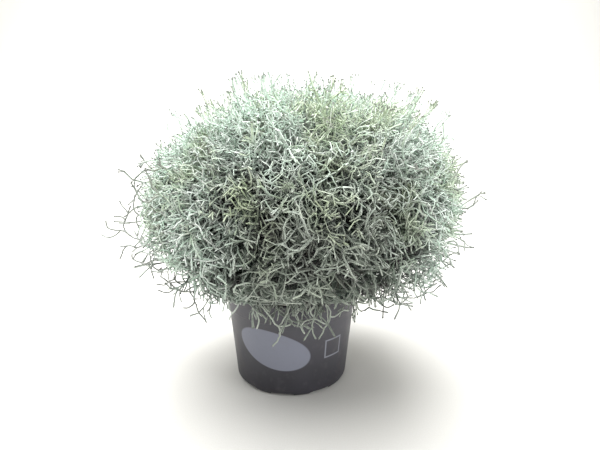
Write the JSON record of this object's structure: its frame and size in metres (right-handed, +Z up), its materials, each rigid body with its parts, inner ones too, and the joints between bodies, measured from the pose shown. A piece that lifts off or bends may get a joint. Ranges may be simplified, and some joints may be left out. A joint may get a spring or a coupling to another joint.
{
  "type": "potted cushion bush",
  "caption": "Silvery cushion bush, a dense dome of wiry forked twigs, growing in a dark grey tapered plastic trade pot.",
  "frame": {"origin": "centre of the pot's flat underside pad, on the surface that the pot stands on", "axes": "+Z up along the pot's axis; the picture looks along +Y, so -Y is the front"},
  "size_m": [0.3356, 0.3037, 0.2872],
  "materials": {
    "pot_plastic": "matte",
    "potting_mix": "matte",
    "silver_twig": "matte"
  },
  "bodies": {
    "root": {"pot": "pot_plastic", "root_ball": "potting_mix", "spray_01": "silver_twig", "spray_02": "silver_twig", "spray_03": "silver_twig", "spray_04": "silver_twig", "spray_05": "silver_twig", "spray_06": "silver_twig", "spray_07": "silver_twig", "spray_08": "silver_twig", "spray_09": "silver_twig", "spray_10": "silver_twig", "spray_11": "silver_twig", "spray_12": "silver_twig", "spray_13": "silver_twig", "spray_14": "silver_twig", "spray_15": "silver_twig", "spray_16": "silver_twig", "spray_17": "silver_twig", "spray_18": "silver_twig", "spray_19": "silver_twig", "spray_20": "silver_twig", "spray_21": "silver_twig"}
  },
  "joints": []
}
